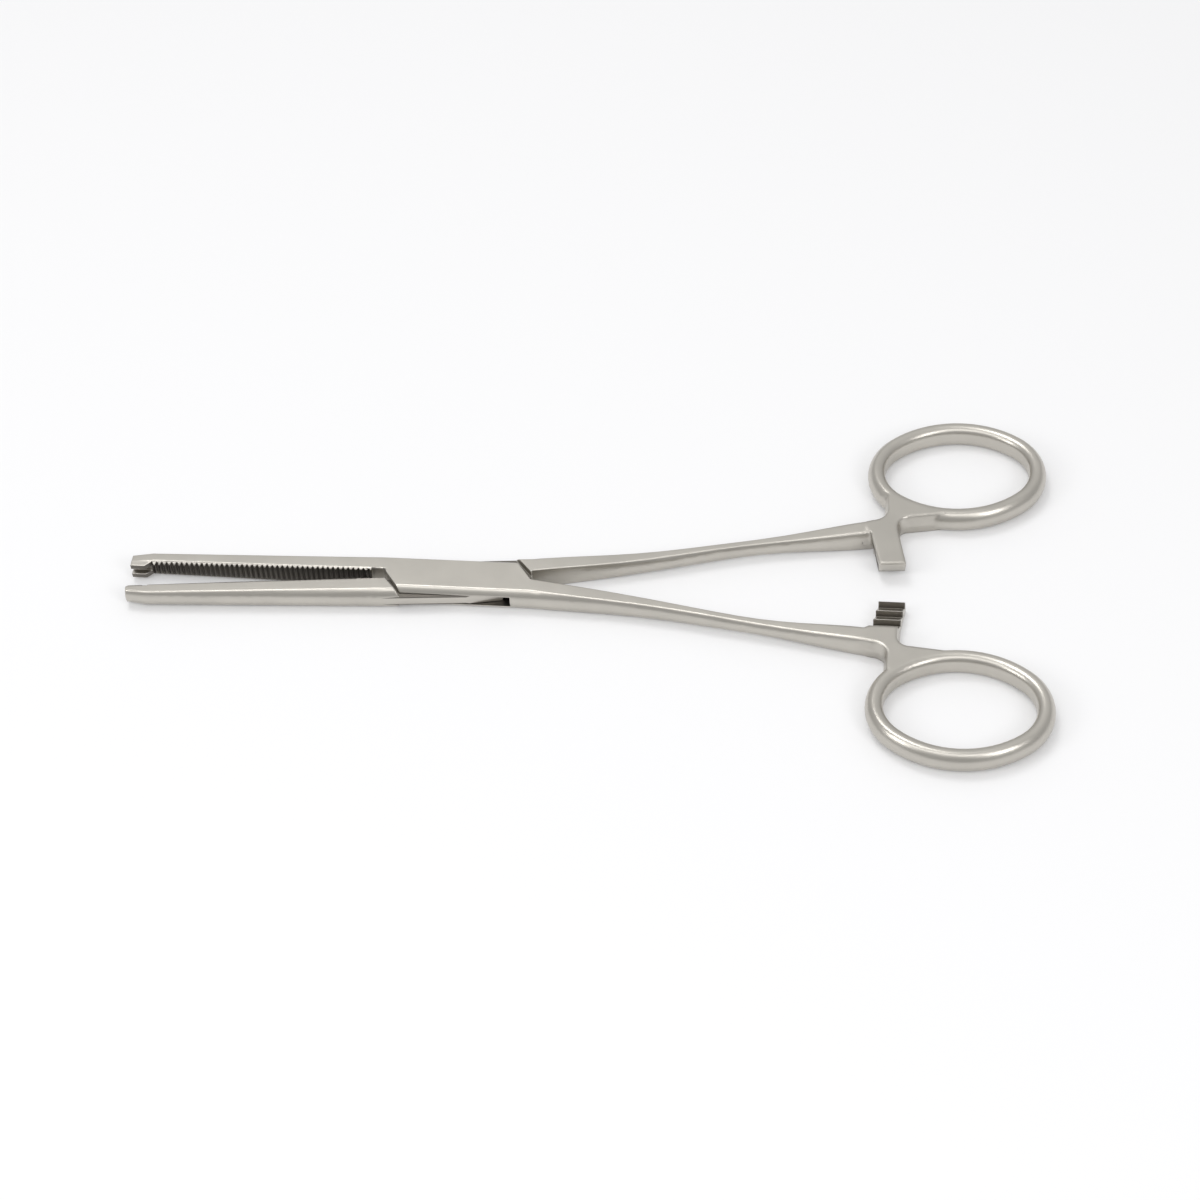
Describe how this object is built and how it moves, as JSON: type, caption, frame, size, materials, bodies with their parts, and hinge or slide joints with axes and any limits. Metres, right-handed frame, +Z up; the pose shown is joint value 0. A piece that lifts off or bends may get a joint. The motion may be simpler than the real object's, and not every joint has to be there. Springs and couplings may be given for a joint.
{
  "type": "artery forceps",
  "caption": "Straight ring-handled clamping forceps with serrated jaws, toothed tips, a box lock and a ratchet between the shanks.",
  "frame": {"origin": "on the pivot axis, in the flat underside of the box lock that the forceps lie on", "axes": "+X from the pivot to the finger rings, +Z up along the pivot axis, +Y to the ring of the half with the tongue"},
  "size_m": [0.1599, 0.0808, 0.0044],
  "materials": {
    "satin_steel": "matt satin stainless steel"
  },
  "bodies": {
    "box_half": {"box_half": "satin_steel", "pivot_pin": "satin_steel"},
    "tongue_half": {"tongue_half": "satin_steel"}
  },
  "joints": [
    {"name": "box_lock", "type": "hinge", "parent": "box_half", "child": "tongue_half", "pos_m": [0, 0, 0.0022], "axis": [0, 0, 1], "range_deg": [-4.7, 36]}
  ]
}
